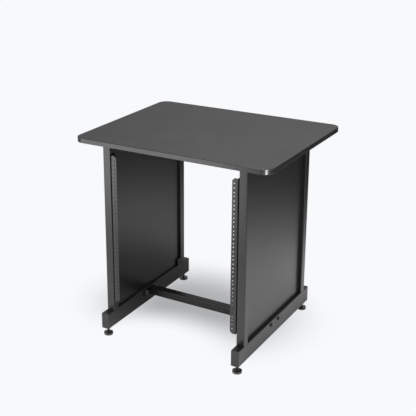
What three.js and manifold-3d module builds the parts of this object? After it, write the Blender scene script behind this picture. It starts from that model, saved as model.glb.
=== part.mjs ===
// Studio rack desk: a laminate top on two steel side frames, with twelve units of rack space between them.
// Millimetres, +Z up, front towards -Y. The origin is on the floor under the middle of the desktop.

import * as THREE from 'three';
import { mergeVertices } from 'three/addons/utils/BufferGeometryUtils.js';
import Module from 'manifold-3d';

const wasm = await Module();
wasm.setup();

// Rack field: the hole pattern of nineteen-inch racks
const rackUnits = 12;
const unitHeight = 44.45;
const holePitch = 15.875;
const holesPerUnit = 3;
const holeColumnDistance = 465.1;
const rackOpeningWidth = 450;

// Rack rails, folded from sheet
const railFlange = 22;
const railWeb = 32;
const railSheet = 2;
const railBend = 3;
const railHole = 4.5;
const railEndMargin = 18;
const railClip = 8;
const webHole = 4.5;
const webHoleSetback = 11;
const railBoltSetback = 21;
const railLift = 39;
const railHeadGap = 11.3;

// Spacers and bolts that hold the rails to the front uprights
const spacerWidth = 3;
const spacerDepth = 14;
const railBolt = 6;
const railBoltHead = 11.5;
const railBoltHeadHeight = 3.6;
const railBoltReach = 9;
const railBoltKey = 4;
const railBoltKeyDepth = 2;

// Square and rectangular steel tube of the side frames
const tubeWidth = 30;
const tubeDepth = 30;
const tubeWall = 1.5;
const tubeCorner = 3;
const topTubeHeight = 30;
const frameDepth = 510;
const baseHeight = 60;
const baseFrontReach = 38;
const baseRearReach = 38;

// Side panels: boards set into the frames, nearer the inner face
const panelRecess = 12;
const panelBoard = 9;

// Corner blocks that hold the boards at the lower rear, inside the frames
const cornerBlockLength = 20.5;
const cornerBlockHeight = 30;
const cornerBlockOuterHeight = 22;
const cornerBlockRecess = 1;

// Plugs in the ends of the base tubes
const capFlange = 2;
const capPlug = 9;
const capWall = 2;

// Crossbar between the base tubes
const crossbarDepth = 30;
const crossbarHeight = 30;
const crossbarSetback = 246;
const endPlateLength = 90;
const endPlateSheet = 4;
const crossBoltSpacing = 60;
const crossBolt = 8;
const crossBoltHead = 14.5;
const crossBoltHeadHeight = 4.4;
const crossBoltKey = 5;
const crossBoltKeyDepth = 2.6;
const crossBoltTail = 3;
const crossNutAcross = 13;
const crossNutHeight = 6.5;

// Levelling feet
const footHeight = 30;
const footInset = 19;
const footTravel = 15;
const padDiameter = 34;
const padHeight = 11;
const padRim = 8.5;
const padCrown = 15;
const padSocketDepth = 7;
const stemDiameter = 8;
const stemEngagement = 16;
const lockNutAcross = 13;
const lockNutHeight = 5.5;
const insertFlange = 16;
const insertFlangeSheet = 1.5;
const insertBody = 11;
const insertLength = 13;

// Desktop board with its edge band, and the screws that hold it
const deskWidth = 750;
const deskDepth = 600;
const deskThickness = 18;
const deskCorner = 35;
const bandSheet = 2;
const bandRound = 1.5;
const frontOverhang = 40;
const deskScrew = 4;
const deskScrewHead = 8;
const deskScrewHeadHeight = 2.6;
const deskScrewBite = 12;
const deskScrewInset = 80;

// Shapes of the small turned pieces, as shares of their own sizes
const domeShares = { radius: 0.44, height: 0.6, rim: 0.2 };
const screwHeadShares = { radius: 0.3, rim: 0.35 };
const tipShare = 0.125;
const padEaseShare = 0.12;

// Gap left round every bolt, plug and stem, and how far a cutter runs past what it cuts
const clearance = 0.3;
const overrun = 1;

// Facets
const cornerSteps = 3;
const bendSteps = 2;
const deskCornerSteps = 8;
const bandSteps = 3;
const boltFacets = 12;
const holeFacets = 8;
const webHoleFacets = 6;
const padFacets = 24;
const hexSides = 6;

// Places that follow from the sizes
const holeSpan = (rackUnits - 1) * unitHeight + (holesPerUnit - 1) * holePitch;
const railLength = holeSpan + 2 * railEndMargin;
const uprightLength = railLift + railLength + railHeadGap + topTubeHeight;
const innerFace = rackOpeningWidth / 2 + railFlange + spacerWidth;
const outerFace = innerFace + tubeWidth;
const tubeMiddle = (innerFace + outerFace) / 2;
const innerLedge = tubeWidth - panelRecess - panelBoard;
const deskScrewLine = innerFace + innerLedge / 2;
const frontFace = frontOverhang - deskDepth / 2;
const rearFace = frontFace + frameDepth;
const baseFront = frontFace - baseFrontReach;
const baseRear = rearFace + baseRearReach;
const baseTop = footHeight + baseHeight;
const uprightTop = baseTop + uprightLength;
const railBottom = baseTop + railLift;
const crossbarMiddle = frontFace + crossbarSetback;
const crossbarAxis = baseTop - crossbarHeight / 2;
const footPlaces = { front: baseFront + footInset, rear: baseRear - footInset };
const sides = { left: -1, right: 1 };

const finishes = {
  laminate: { color: 0x4a4846, roughness: 0.55, metalness: 0 },
  edging: { color: 0x535150, roughness: 0.5, metalness: 0 },
  coatedSteel: { color: 0x1f1f20, roughness: 0.45, metalness: 0.2 },
  lacqueredBoard: { color: 0x1d1d1f, roughness: 0.35, metalness: 0 },
  blackFastener: { color: 0x141414, roughness: 0.35, metalness: 0.6 },
  zincFastener: { color: 0xa9abad, roughness: 0.3, metalness: 1 },
  blackPlastic: { color: 0x161616, roughness: 0.6, metalness: 0 },
};

const desk = new THREE.Group();

function addPiece(name, geometry, finish, x = 0, y = 0, z = 0) {
  const mesh = new THREE.Mesh(geometry, new THREE.MeshStandardMaterial(finish));
  mesh.name = name;
  mesh.position.set(x, y, z);
  desk.add(mesh);
}

// Closed solids for the cuts and joins, and back again
function solidOf(geometry) {
  const bare = geometry.clone();
  bare.deleteAttribute('normal');
  bare.deleteAttribute('uv');
  const merged = mergeVertices(bare);
  const vertProperties = new Float32Array(merged.attributes.position.array);
  const triVerts = new Uint32Array(merged.index.array);
  return new wasm.Manifold(new wasm.Mesh({ numProp: 3, vertProperties, triVerts }));
}

function geometryOf(solid) {
  const mesh = solid.getMesh();
  const geometry = new THREE.BufferGeometry();
  geometry.setAttribute('position', new THREE.BufferAttribute(new Float32Array(mesh.vertProperties), 3));
  geometry.setIndex(new THREE.BufferAttribute(new Uint32Array(mesh.triVerts), 1));
  geometry.computeVertexNormals();
  return geometry;
}

function cutFrom(body, cutters) {
  let solid = solidOf(body);
  for (const cutter of cutters) {
    solid = solid.subtract(solidOf(cutter));
  }
  return geometryOf(solid);
}

// A rectangle with round corners, centred, as a path
function roundedRectangle(width, height, radius, steps, PathType = THREE.Shape) {
  const points = [];
  const corners = [[1, 1], [-1, 1], [-1, -1], [1, -1]];
  corners.forEach(([signX, signY], index) => {
    for (let step = 0; step <= steps; step += 1) {
      const angle = (index + step / steps) * Math.PI / 2;
      points.push(new THREE.Vector2(
        signX * (width / 2 - radius) + radius * Math.cos(angle),
        signY * (height / 2 - radius) + radius * Math.sin(angle),
      ));
    }
  });
  return new PathType(points);
}

function regularOutline(diameter, sidesAround, PathType = THREE.Shape) {
  const points = [];
  for (let index = 0; index < sidesAround; index += 1) {
    const angle = (index + 0.5) * 2 * Math.PI / sidesAround;
    points.push(new THREE.Vector2(diameter / 2 * Math.cos(angle), diameter / 2 * Math.sin(angle)));
  }
  return new PathType(points);
}

function hexOutline(acrossFlats) {
  return regularOutline(acrossFlats / Math.cos(Math.PI / hexSides), hexSides);
}

function extrude(shape, depth) {
  return new THREE.ExtrudeGeometry(shape, { depth, bevelEnabled: false });
}

// Hollow tube with open ends, along +Z from zero
function tube(width, depth, length) {
  const shape = roundedRectangle(width, depth, tubeCorner, cornerSteps);
  const boreWidth = width - 2 * tubeWall;
  const boreDepth = depth - 2 * tubeWall;
  shape.holes.push(roundedRectangle(boreWidth, boreDepth, tubeCorner - tubeWall, cornerSteps, THREE.Path));
  return extrude(shape, length);
}

// A round cutter whose middle is at the given place
function drill(diameter, length, axis, x, y, z, facets = holeFacets) {
  const cutter = new THREE.CylinderGeometry(diameter / 2, diameter / 2, length, facets);
  if (axis === 'x') cutter.rotateZ(-Math.PI / 2);
  if (axis === 'z') cutter.rotateX(Math.PI / 2);
  cutter.translate(x, y, z);
  return cutter;
}

// A turned piece along +Z from a profile of [radius, height] pairs that starts and ends on the axis
function turned(profile, facets) {
  const points = profile.map(([radius, height]) => new THREE.Vector2(radius, height));
  const geometry = new THREE.LatheGeometry(points, facets);
  geometry.rotateX(Math.PI / 2);
  return geometry;
}

// A bolt along +Z with a domed head under zero and its key socket in the head
function socketBolt(diameter, head, headHeight, key, keyDepth, length) {
  const tip = diameter * tipShare;
  const profile = [
    [0, -headHeight],
    [key, -headHeight],
    [head * domeShares.radius, -headHeight * domeShares.height],
    [head / 2, -headHeight * domeShares.rim],
    [head / 2, 0],
    [diameter / 2, 0],
    [diameter / 2, length - tip],
    [diameter / 2 - tip, length],
    [0, length],
  ];
  const socket = extrude(hexOutline(key), keyDepth + overrun);
  socket.translate(0, 0, -headHeight - overrun);
  return cutFrom(turned(profile, boltFacets), [socket]);
}

function hexNut(acrossFlats, height, bore) {
  const shape = hexOutline(acrossFlats);
  shape.holes.push(regularOutline(bore, boltFacets, THREE.Path));
  return extrude(shape, height);
}

// Desktop: the core board, with pilot holes for the screws from below
function deskScrewPlaces() {
  return {
    front: frontFace + tubeDepth + deskScrewInset,
    rear: rearFace - tubeDepth - deskScrewInset,
  };
}

function addDeskBoard() {
  const outline = deskOutline(bandSheet);
  const board = extrude(new THREE.Shape(outline), deskThickness);
  const pilots = [];
  for (const side of Object.values(sides)) {
    for (const place of Object.values(deskScrewPlaces())) {
      const pilotLength = deskScrewBite + clearance + overrun;
      const middle = pilotLength / 2 - overrun;
      pilots.push(drill(deskScrew + 2 * clearance, pilotLength, 'z', side * deskScrewLine, place, middle));
    }
  }
  addPiece('desktop_board', cutFrom(board, pilots), finishes.laminate, 0, 0, uprightTop);
}

// The desktop's outline, drawn in by an inset
function deskOutline(inset) {
  const width = deskWidth - 2 * inset;
  const depth = deskDepth - 2 * inset;
  return roundedRectangle(width, depth, deskCorner - inset, deskCornerSteps).getPoints();
}

// Edge band: one closed ring round the board, its outer edges eased
function addEdgeBand() {
  const section = [[bandSheet, 0], [bandRound, 0]];
  for (let step = 1; step <= bandSteps; step += 1) {
    const angle = step / bandSteps * Math.PI / 2;
    section.push([bandRound * (1 - Math.sin(angle)), bandRound * (1 - Math.cos(angle))]);
  }
  const upper = section.map(([inset, height]) => [inset, deskThickness - height]).reverse();
  section.push(...upper);
  const rings = section.map(([inset, height]) => deskOutline(inset)
    .map((point) => [point.x, point.y, height]));
  const around = rings[0].length;
  const vertices = rings.flat(2);
  const index = [];
  for (let ring = 0; ring < rings.length; ring += 1) {
    const next = (ring + 1) % rings.length;
    for (let step = 0; step < around; step += 1) {
      const ahead = (step + 1) % around;
      const here = [ring * around + step, ring * around + ahead];
      const across = [next * around + step, next * around + ahead];
      index.push(here[0], here[1], across[1], here[0], across[1], across[0]);
    }
  }
  const band = new THREE.BufferGeometry();
  band.setAttribute('position', new THREE.Float32BufferAttribute(vertices, 3));
  band.setIndex(index);
  band.computeVertexNormals();
  addPiece('edge_band', band, finishes.edging, 0, 0, uprightTop);
}

// Uprights: the front ones are drilled for the rail bolts
function railBoltHeights() {
  return { lower: railBottom + railEndMargin / 2, upper: railBottom + railLength - railEndMargin / 2 };
}

function addUprights(sideName, side) {
  const frontHoles = Object.values(railBoltHeights()).map((height) => drill(
    railBolt + 2 * clearance,
    tubeWall + 2 * overrun,
    'x',
    -side * (tubeWidth - tubeWall) / 2,
    railBoltSetback - tubeDepth / 2,
    height - baseTop,
  ));
  const front = cutFrom(tube(tubeWidth, tubeDepth, uprightLength), frontHoles);
  const rear = tube(tubeWidth, tubeDepth, uprightLength);
  const x = side * tubeMiddle;
  addPiece(`front_upright_${sideName}`, front, finishes.coatedSteel, x, frontFace + tubeDepth / 2, baseTop);
  addPiece(`rear_upright_${sideName}`, rear, finishes.coatedSteel, x, rearFace - tubeDepth / 2, baseTop);
}

// Base tube: runs front to back past both uprights, drilled for the feet and the crossbar bolts
function crossBoltPlaces() {
  return [crossbarMiddle - crossBoltSpacing / 2, crossbarMiddle + crossBoltSpacing / 2];
}

function addBaseTube(sideName, side) {
  const length = baseRear - baseFront - 2 * capFlange;
  const body = tube(tubeWidth, baseHeight, length);
  body.rotateX(Math.PI / 2);
  body.translate(0, baseRear - capFlange, footHeight + baseHeight / 2);
  const cutters = [];
  for (const place of crossBoltPlaces()) {
    const through = tubeWidth + 2 * overrun;
    cutters.push(drill(crossBolt + 2 * clearance, through, 'x', 0, place, crossbarAxis, boltFacets));
  }
  for (const place of Object.values(footPlaces)) {
    const through = tubeWall + 2 * overrun;
    const height = footHeight + tubeWall / 2;
    cutters.push(drill(insertBody + 2 * clearance, through, 'z', 0, place, height, boltFacets));
  }
  addPiece(`base_tube_${sideName}`, cutFrom(body, cutters), finishes.coatedSteel, side * tubeMiddle);
}

// Top tube: closes the frame under the desktop, drilled through for the desktop screws
function addTopTube(sideName, side) {
  const start = frontFace + tubeDepth;
  const end = rearFace - tubeDepth;
  const body = tube(tubeWidth, topTubeHeight, end - start);
  body.rotateX(Math.PI / 2);
  body.translate(0, end, uprightTop - topTubeHeight / 2);
  const through = topTubeHeight + 2 * overrun;
  const x = side * (deskScrewLine - tubeMiddle);
  const height = uprightTop - topTubeHeight / 2;
  const cutters = Object.values(deskScrewPlaces())
    .map((place) => drill(deskScrew + 2 * clearance, through, 'z', x, place, height));
  addPiece(`top_tube_${sideName}`, cutFrom(body, cutters), finishes.coatedSteel, side * tubeMiddle);
}

// Side panel: a flat board inside the frame, set back from its outer face
function addSidePanel(sideName, side) {
  const depth = frameDepth - 2 * tubeDepth;
  const height = uprightLength - topTubeHeight;
  const panel = new THREE.BoxGeometry(panelBoard, depth, height);
  const x = side * (outerFace - panelRecess - panelBoard / 2);
  const y = (frontFace + rearFace) / 2;
  addPiece(`side_panel_${sideName}`, panel, finishes.lacqueredBoard, x, y, baseTop + height / 2);
}

// Corner block: fills the lower rear corner between the board and the inner face, its top slanting forwards
function addCornerBlock(sideName, side) {
  const outline = [
    [0, 0],
    [cornerBlockLength, 0],
    [cornerBlockLength, cornerBlockOuterHeight],
    [0, cornerBlockHeight],
  ].map(([back, height]) => new THREE.Vector2(-back, height));
  const thickness = innerLedge - cornerBlockRecess;
  const block = extrude(new THREE.Shape(outline), thickness);
  block.rotateX(Math.PI / 2);
  block.rotateZ(Math.PI / 2);
  const x = side > 0 ? innerFace + cornerBlockRecess : -innerFace - innerLedge;
  addPiece(`corner_block_${sideName}`, block, finishes.blackPlastic, x, rearFace - tubeDepth, baseTop);
}

// Plug: a flange over the tube's end and a hollow plug inside it
function addEndCaps(sideName, side) {
  const plugWidth = tubeWidth - 2 * tubeWall - 2 * clearance;
  const plugHeight = baseHeight - 2 * tubeWall - 2 * clearance;
  const radius = tubeCorner - tubeWall;
  const flange = extrude(roundedRectangle(tubeWidth, baseHeight, tubeCorner, cornerSteps), capFlange);
  const plug = extrude(roundedRectangle(plugWidth, plugHeight, radius, cornerSteps), capFlange + capPlug);
  const hollow = extrude(
    roundedRectangle(plugWidth - 2 * capWall, plugHeight - 2 * capWall, radius, cornerSteps),
    capPlug + overrun,
  );
  hollow.translate(0, 0, capFlange);
  const cap = geometryOf(solidOf(flange).add(solidOf(plug)).subtract(solidOf(hollow)));
  const front = cap.clone().rotateX(-Math.PI / 2);
  const rear = cap.clone().rotateX(Math.PI / 2);
  const x = side * tubeMiddle;
  const z = footHeight + baseHeight / 2;
  addPiece(`front_end_cap_${sideName}`, front, finishes.blackPlastic, x, baseFront, z);
  addPiece(`rear_end_cap_${sideName}`, rear, finishes.blackPlastic, x, baseRear, z);
}

// Rack rail: an angle with the rack holes in its front flange and a row of small holes in its web
function railOutline(side) {
  const points = [[0, 0]];
  for (let step = 0; step <= bendSteps; step += 1) {
    const angle = step / bendSteps * Math.PI / 2;
    const x = railFlange - railBend + railBend * Math.sin(angle);
    points.push([x, railBend - railBend * Math.cos(angle)]);
  }
  points.push([railFlange, railWeb], [railFlange - railSheet, railWeb]);
  const innerBend = railBend - railSheet;
  for (let step = bendSteps; step >= 0; step -= 1) {
    const angle = step / bendSteps * Math.PI / 2;
    const x = railFlange - railBend + innerBend * Math.sin(angle);
    points.push([x, railBend - innerBend * Math.cos(angle)]);
  }
  points.push([0, railSheet]);
  return points.map(([x, y]) => new THREE.Vector2(side * x, y));
}

function railHoleHeights() {
  const heights = [];
  for (let unit = 0; unit < rackUnits; unit += 1) {
    for (let hole = 0; hole < holesPerUnit; hole += 1) {
      heights.push(railEndMargin + unit * unitHeight + hole * holePitch);
    }
  }
  return heights;
}

function clipCorner(side, height) {
  const inward = Math.sign(railLength / 2 - height);
  const outline = [
    [-overrun, -overrun],
    [railClip, -overrun],
    [railClip, 0],
    [0, railClip],
    [-overrun, railClip],
  ].map(([x, y]) => new THREE.Vector2(side * x, inward * y));
  const cutter = extrude(new THREE.Shape(outline), railSheet + 2 * overrun);
  cutter.rotateX(Math.PI / 2);
  cutter.translate(0, railSheet + overrun, height);
  return cutter;
}

function addRail(sideName, side) {
  const body = extrude(new THREE.Shape(railOutline(side)), railLength);
  const holeX = side * (holeColumnDistance - rackOpeningWidth) / 2;
  const webX = side * (railFlange - railSheet / 2);
  const cutters = [clipCorner(side, 0), clipCorner(side, railLength)];
  const through = railSheet + 2 * overrun;
  for (const height of railHoleHeights()) {
    cutters.push(drill(railHole, through, 'y', holeX, railSheet / 2, height));
    cutters.push(drill(webHole, through, 'x', webX, webHoleSetback, height, webHoleFacets));
  }
  for (const height of Object.values(railBoltHeights())) {
    const diameter = railBolt + 2 * clearance;
    cutters.push(drill(diameter, through, 'x', webX, railBoltSetback, height - railBottom, boltFacets));
  }
  const x = side * rackOpeningWidth / 2;
  addPiece(`rack_rail_${sideName}`, cutFrom(body, cutters), finishes.coatedSteel, x, frontFace, railBottom);
}

// Spacers and bolts between the rail's web and the front upright, one pair at each end of the rail
function addRailMountings(sideName, side) {
  const shape = roundedRectangle(spacerDepth, railEndMargin, tubeWall, cornerSteps);
  shape.holes.push(regularOutline(railBolt + 2 * clearance, boltFacets, THREE.Path));
  const boltLength = railSheet + spacerWidth + tubeWall + railBoltReach;
  for (const [level, height] of Object.entries(railBoltHeights())) {
    const spacer = extrude(shape, spacerWidth);
    spacer.rotateX(Math.PI / 2);
    spacer.rotateZ(Math.PI / 2);
    const spacerX = side > 0 ? innerFace - spacerWidth : -innerFace;
    const y = frontFace + railBoltSetback;
    addPiece(`${level}_rail_spacer_${sideName}`, spacer, finishes.coatedSteel, spacerX, y, height);
    const head = [railBolt, railBoltHead, railBoltHeadHeight, railBoltKey, railBoltKeyDepth];
    const bolt = socketBolt(...head, boltLength).rotateY(side * Math.PI / 2);
    const boltX = side * (innerFace - spacerWidth - railSheet);
    addPiece(`${level}_rail_bolt_${sideName}`, bolt, finishes.blackFastener, boltX, y, height);
  }
}

// Crossbar: a square tube between two end plates, level with the tops of the base tubes
function addCrossbar() {
  const length = 2 * (innerFace - endPlateSheet);
  const bar = tube(crossbarHeight, crossbarDepth, length);
  bar.rotateY(Math.PI / 2);
  addPiece('crossbar', bar, finishes.coatedSteel, -length / 2, crossbarMiddle, crossbarAxis);
}

function addEndPlate(sideName, side) {
  const plate = roundedRectangle(endPlateLength, crossbarHeight, tubeCorner, cornerSteps);
  const body = extrude(plate, endPlateSheet);
  body.rotateX(Math.PI / 2);
  body.rotateZ(Math.PI / 2);
  const holes = [-1, 1].map((end) => drill(
    crossBolt + 2 * clearance,
    endPlateSheet + 2 * overrun,
    'x',
    endPlateSheet / 2,
    end * crossBoltSpacing / 2,
    0,
    boltFacets,
  ));
  const x = side > 0 ? innerFace - endPlateSheet : -innerFace;
  const piece = cutFrom(body, holes);
  addPiece(`crossbar_plate_${sideName}`, piece, finishes.coatedSteel, x, crossbarMiddle, crossbarAxis);
}

function addCrossBolts(sideName, side) {
  const shank = tubeWidth + endPlateSheet + crossNutHeight + crossBoltTail;
  const names = ['front', 'rear'];
  crossBoltPlaces().forEach((place, index) => {
    const head = [crossBolt, crossBoltHead, crossBoltHeadHeight, crossBoltKey, crossBoltKeyDepth];
    const bolt = socketBolt(...head, shank).rotateY(-side * Math.PI / 2);
    const boltName = `${names[index]}_crossbar_bolt_${sideName}`;
    addPiece(boltName, bolt, finishes.blackFastener, side * outerFace, place, crossbarAxis);
    const nut = hexNut(crossNutAcross, crossNutHeight, crossBolt + 2 * clearance).rotateY(Math.PI / 2);
    const nutX = side > 0 ? innerFace - endPlateSheet - crossNutHeight : endPlateSheet - innerFace;
    const nutName = `${names[index]}_crossbar_nut_${sideName}`;
    addPiece(nutName, nut, finishes.zincFastener, nutX, place, crossbarAxis);
  });
}

// Levelling foot: threaded insert in the base tube, lock nut, stem, and the pad that stands on the floor
function footInsert() {
  const bore = stemDiameter / 2 + clearance;
  const profile = [
    [bore, 0],
    [insertFlange / 2, 0],
    [insertFlange / 2, insertFlangeSheet],
    [insertBody / 2, insertFlangeSheet],
    [insertBody / 2, insertLength],
    [bore, insertLength],
    [bore, 0],
  ];
  return turned(profile, boltFacets);
}

function footPad() {
  const socket = stemDiameter / 2 + clearance;
  const ease = padRim * padEaseShare;
  const profile = [
    [0, 0],
    [padDiameter / 2 - ease, 0],
    [padDiameter / 2, ease],
    [padDiameter / 2, padRim],
    [padDiameter / 2 - ease, padRim + ease],
    [padCrown / 2, padHeight - ease],
    [padCrown / 2 - ease, padHeight],
    [socket, padHeight],
    [socket, padHeight - padSocketDepth],
    [0, padHeight - padSocketDepth],
  ];
  return turned(profile, padFacets);
}

function footStem() {
  const start = padHeight - padSocketDepth;
  const end = footHeight + stemEngagement + footTravel;
  const ease = stemDiameter * tipShare;
  const profile = [
    [0, start],
    [stemDiameter / 2, start],
    [stemDiameter / 2, end - ease],
    [stemDiameter / 2 - ease, end],
    [0, end],
  ];
  return turned(profile, boltFacets);
}

function addFeet(sideName, side) {
  const x = side * tubeMiddle;
  for (const [end, y] of Object.entries(footPlaces)) {
    const flangeBottom = footHeight - insertFlangeSheet;
    const nut = hexNut(lockNutAcross, lockNutHeight, stemDiameter + 2 * clearance);
    addPiece(`${end}_foot_insert_${sideName}`, footInsert(), finishes.blackFastener, x, y, flangeBottom);
    addPiece(`${end}_lock_nut_${sideName}`, nut, finishes.blackFastener, x, y, flangeBottom - lockNutHeight);
    addPiece(`${end}_foot_stem_${sideName}`, footStem(), finishes.blackFastener, x, y);
    addPiece(`${end}_foot_pad_${sideName}`, footPad(), finishes.blackPlastic, x, y);
  }
}

// Desktop screws: from under the top tubes up into the board
function addDeskScrews(sideName, side) {
  const length = topTubeHeight + deskScrewBite;
  const profile = [
    [0, -deskScrewHeadHeight],
    [deskScrewHead * screwHeadShares.radius, -deskScrewHeadHeight],
    [deskScrewHead / 2, -deskScrewHeadHeight * screwHeadShares.rim],
    [deskScrewHead / 2, 0],
    [deskScrew / 2, 0],
    [deskScrew / 2, length - deskScrew],
    [0, length],
  ];
  const z = uprightTop - topTubeHeight;
  for (const [end, y] of Object.entries(deskScrewPlaces())) {
    const screw = turned(profile, boltFacets);
    addPiece(`${end}_desk_screw_${sideName}`, screw, finishes.blackFastener, side * deskScrewLine, y, z);
  }
}

addDeskBoard();
addEdgeBand();
for (const [sideName, side] of Object.entries(sides)) {
  addUprights(sideName, side);
  addBaseTube(sideName, side);
  addTopTube(sideName, side);
  addSidePanel(sideName, side);
  addCornerBlock(sideName, side);
  addEndCaps(sideName, side);
  addRail(sideName, side);
  addRailMountings(sideName, side);
  addEndPlate(sideName, side);
  addCrossBolts(sideName, side);
  addFeet(sideName, side);
  addDeskScrews(sideName, side);
}
addCrossbar();

export default desk;
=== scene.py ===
import math

import bmesh
import bpy
from mathutils import Matrix, Vector


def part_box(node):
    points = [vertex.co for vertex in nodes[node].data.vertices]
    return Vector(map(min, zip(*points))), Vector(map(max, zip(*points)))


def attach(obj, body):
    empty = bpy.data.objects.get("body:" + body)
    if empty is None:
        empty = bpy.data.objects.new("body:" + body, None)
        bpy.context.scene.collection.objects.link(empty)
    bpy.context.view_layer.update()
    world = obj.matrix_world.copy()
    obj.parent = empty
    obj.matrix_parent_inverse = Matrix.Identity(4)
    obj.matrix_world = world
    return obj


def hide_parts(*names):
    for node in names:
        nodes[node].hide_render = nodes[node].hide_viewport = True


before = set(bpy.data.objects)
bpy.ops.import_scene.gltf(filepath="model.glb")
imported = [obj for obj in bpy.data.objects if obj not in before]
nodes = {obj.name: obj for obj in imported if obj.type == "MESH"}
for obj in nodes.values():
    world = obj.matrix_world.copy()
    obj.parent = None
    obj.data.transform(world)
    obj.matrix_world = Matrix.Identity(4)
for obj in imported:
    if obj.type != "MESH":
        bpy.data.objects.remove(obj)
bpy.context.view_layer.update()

SIDES = {"left": -1, "right": 1}


# The camera stands to the right of the cabinet and looks down on the desktop.
# Its place, its turn and the middle of its picture were fitted to edges in the photograph.
# Lengths in the picture are in pixels of the photograph.
PICTURE = 416
SENSOR = 36.0
CAMERA_PLACE = Vector((1.4828, -2.7226, 1.6316))
CAMERA_TURN = math.radians(31.57)
CAMERA_TILT = math.radians(18.16)
CAMERA_ROLL = math.radians(0.48)
FOCAL_PIXELS = 909.7
AXIS_PIXEL = (164.2, 166.0)
CLIP_END = 100

bpy.ops.object.camera_add(location=CAMERA_PLACE)
camera = bpy.context.object
camera.name = "camera"
turn = Matrix.Rotation(CAMERA_TURN, 3, "Z") @ Matrix.Rotation(math.pi / 2 - CAMERA_TILT, 3, "X")
camera.rotation_euler = (turn @ Matrix.Rotation(-CAMERA_ROLL, 3, "Z")).to_euler()
camera.data.sensor_width = SENSOR
camera.data.lens = FOCAL_PIXELS * SENSOR / PICTURE
camera.data.shift_x = (PICTURE / 2 - AXIS_PIXEL[0]) / PICTURE
camera.data.shift_y = (AXIS_PIXEL[1] - PICTURE / 2) / PICTURE
camera.data.clip_end = CLIP_END
bpy.context.scene.camera = camera
bpy.context.scene.view_settings.view_transform = "Standard"


# Every finish below is built from sockets that can be added and multiplied.
# A surface is a tree of nodes: Shade wraps one socket of it, and its operators add the maths nodes.
class Shade:
    def __init__(self, tree, socket):
        self.tree = tree
        self.socket = socket

    def make(self, kind, inputs=None, output=0, **settings):
        node = self.tree.nodes.new(kind)
        for name, value in settings.items():
            if name == "stops":
                ramp = node.color_ramp
                while len(ramp.elements) < len(value):
                    ramp.elements.new(0.5)
                for element, (position, grey) in zip(ramp.elements, value):
                    element.position = position
                    element.color = (grey, grey, grey, 1)
            else:
                setattr(node, name, value)
        for key, value in (inputs or {}).items():
            if isinstance(value, Shade):
                self.tree.links.new(value.socket, node.inputs[key])
            else:
                node.inputs[key].default_value = value
        return Shade(self.tree, node.outputs[output])

    def maths(self, operation, first, second=0.0):
        return self.make("ShaderNodeMath", {0: first, 1: second}, operation=operation)

    def __add__(self, other):
        return self.maths("ADD", self, other)

    def __radd__(self, other):
        return self.maths("ADD", other, self)

    def __sub__(self, other):
        return self.maths("SUBTRACT", self, other)

    def __rsub__(self, other):
        return self.maths("SUBTRACT", other, self)

    def __mul__(self, other):
        return self.maths("MULTIPLY", self, other)

    def __rmul__(self, other):
        return self.maths("MULTIPLY", other, self)

    def limited(self, low, high):
        """From 0 at low to 1 at high, eased at both ends."""
        limits = {"Value": self, "From Min": low, "From Max": high}
        return self.make("ShaderNodeMapRange", limits, interpolation_type="SMOOTHSTEP")

    def mixed(self, first, second):
        """first where this is 0, and second where it is 1."""
        colours = {"Factor": self, 6: first, 7: second}
        return self.make("ShaderNodeMix", colours, output=2, data_type="RGBA")

    def into(self, shader, name):
        """Feeds one socket of a shader."""
        self.tree.links.new(self.socket, shader.inputs[name])


def new_finish(name):
    """A material with a Principled shader, and the place on the object that patterns read."""
    material = bpy.data.materials.new(name)
    material.use_nodes = True
    tree = material.node_tree
    shader = tree.nodes["Principled BSDF"]
    place = Shade(tree, tree.nodes.new("ShaderNodeTexCoord").outputs["Object"])
    return material, shader, place


# The set is a white floor that runs on to a pale wall without an edge.
# The camera sees it white, with a soft shadow in a painted oval between the frames and a painted pool of
# light in front.
# Mirror-like reflections see it with a painted glow, brighter in front and to the right, and fading to the
# rear.
FLOOR_SIZE = 60
WHITE = (0.935, 0.945, 0.965, 1)
FLOOR_PAINT = (0.8, 0.8, 0.8, 1)
FLOOR_PAINT_SEEN = (0.60, 0.61, 0.63, 1)
FLOOR_LIFT = 0.40
SHADOW_MIDDLE = (-0.10, 0.08, 0)
SHADOW_REACH = (0.58, 0.46, 1)
SHADOW_EDGE = (0.2, 1.0)
POOL_MIDDLE = (-0.05, -0.36, 0)
POOL_EDGE = (0.20, 0.42)
POOL_SHINE = 0.26
ROOM_FLOOR = 0.09
REAR_SLANT = 0.3
REAR_FADE = (0.5, 2.1)
LEVEL_SHINE = 0.14
RIGHT_SHINE = 0.18
RIGHT_EDGE = (0.25, 0.34)
BESIDE_SHINE = 0.40
BESIDE_EDGE = (0.44, 0.64)
FRONT_SHINE = 0.38
FRONT_EDGE = (0.30, 0.38)
AMBIENT = 0.22
MIRRORED_WALL = (0.50, 0.30)
WALL_TURN = (0.30, 0.62)

bpy.ops.mesh.primitive_plane_add(size=FLOOR_SIZE)
floor = bpy.context.object
floor.name = "floor"
floor_finish, floor_shader, floor_place = new_finish("white floor")
tree = floor_finish.node_tree
tree.nodes.remove(floor_shader)


def distance_from(middle, reach=(1, 1, 1)):
    """How far a place on the floor is from another, with each axis counted in its own reach."""
    away = floor_place.make("ShaderNodeVectorMath", {0: floor_place, 1: middle}, operation="SUBTRACT")
    away = away.make("ShaderNodeVectorMath", {0: away, 1: reach}, operation="DIVIDE")
    return away.make("ShaderNodeVectorMath", {0: away}, output=1, operation="LENGTH")


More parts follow.
